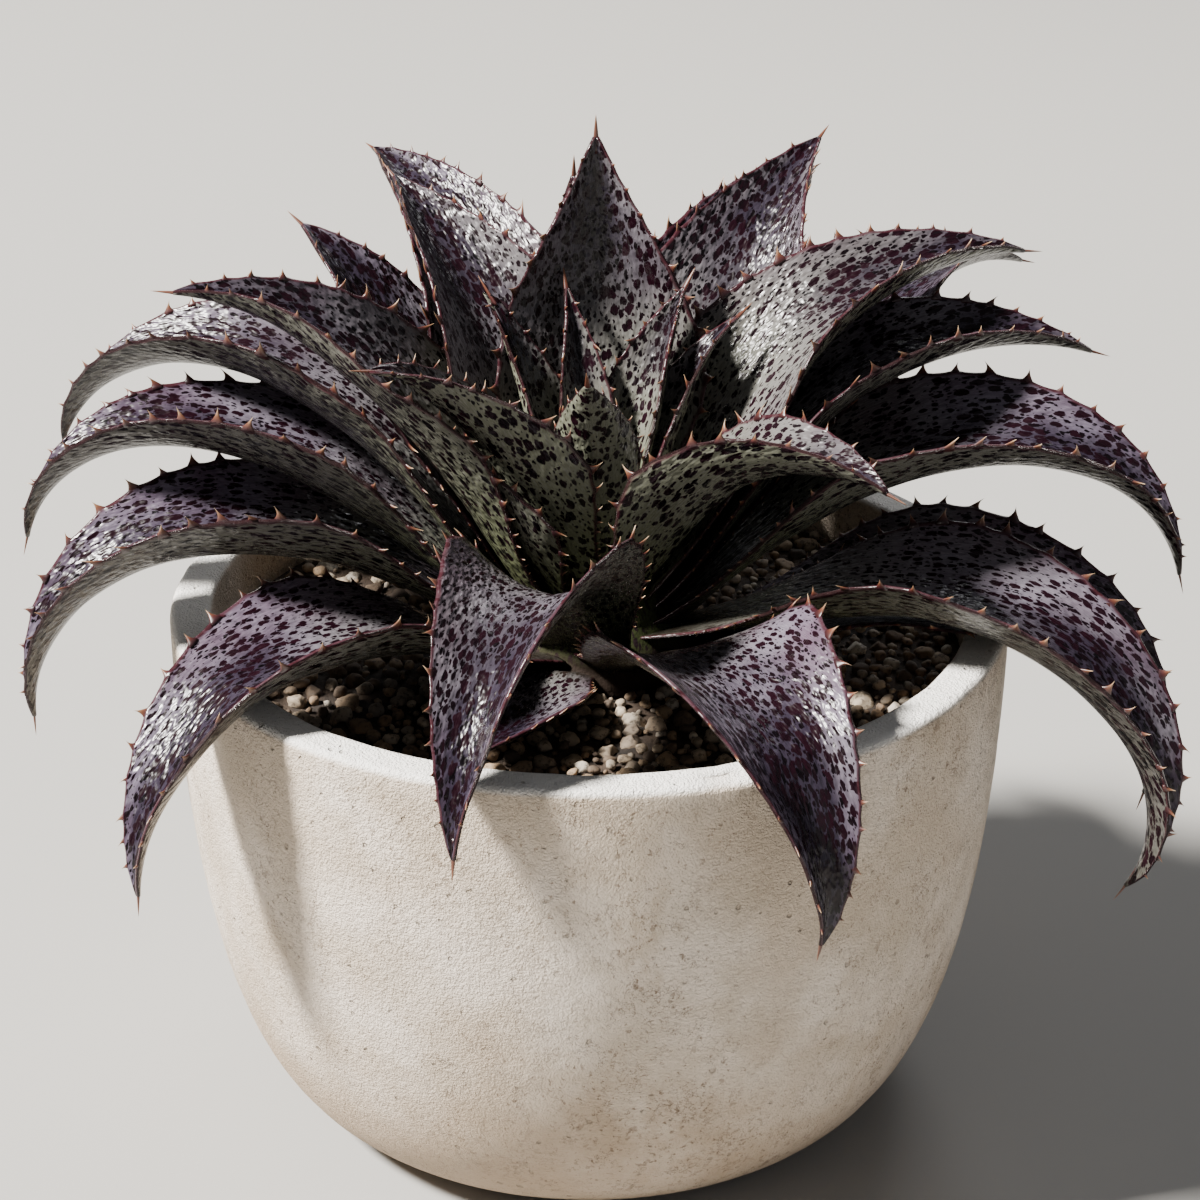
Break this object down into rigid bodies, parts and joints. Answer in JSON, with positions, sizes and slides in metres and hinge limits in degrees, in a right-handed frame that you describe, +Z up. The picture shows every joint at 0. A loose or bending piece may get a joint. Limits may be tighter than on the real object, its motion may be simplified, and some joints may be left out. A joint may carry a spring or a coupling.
{
  "type": "potted mangave",
  "caption": "Rosette of spotted, toothed succulent leaves growing in soil in a round cast pot.",
  "frame": {"origin": "middle of the pot's foot, on the ground", "axes": "+Z up, -Y towards the front of the plant, +X to its right as seen from the front"},
  "size_m": [0.5542, 0.4629, 0.4757],
  "materials": {
    "concrete": "matt, fine grain",
    "soil": "matt, gritty",
    "stem": "satin, fleshy",
    "leaf": "satin, waxy, spotted"
  },
  "bodies": {
    "root": {"pot": "concrete", "soil": "soil", "stem": "stem", "leaf_on_soil_front": "leaf", "leaf_low_back_left": "leaf", "leaf_low_back_right": "leaf", "leaf_low_right_rear": "leaf", "leaf_low_front_left": "leaf", "leaf_low_front_right": "leaf", "leaf_low_front": "leaf", "leaf_low_back": "leaf", "leaf_low_right": "leaf", "leaf_low_left": "leaf", "leaf_mid_left": "leaf", "leaf_mid_right": "leaf", "leaf_mid_left_rear": "leaf", "leaf_back_left_outer": "leaf", "leaf_back_right_inner": "leaf", "leaf_back_left_rear": "leaf", "leaf_right_rear_lower": "leaf", "leaf_right_high": "leaf", "leaf_back_lower": "leaf", "leaf_left_high": "leaf", "leaf_back_right": "leaf", "leaf_right_rear": "leaf", "leaf_back_left": "leaf", "leaf_inner_left_lower": "leaf", "leaf_back": "leaf", "leaf_inner_right": "leaf", "leaf_inner_left": "leaf", "heart_spike_right": "leaf", "heart_spike_left": "leaf", "heart_spike_back_right": "leaf", "heart_leaf": "leaf", "heart_spike_back": "leaf"}
  },
  "joints": []
}
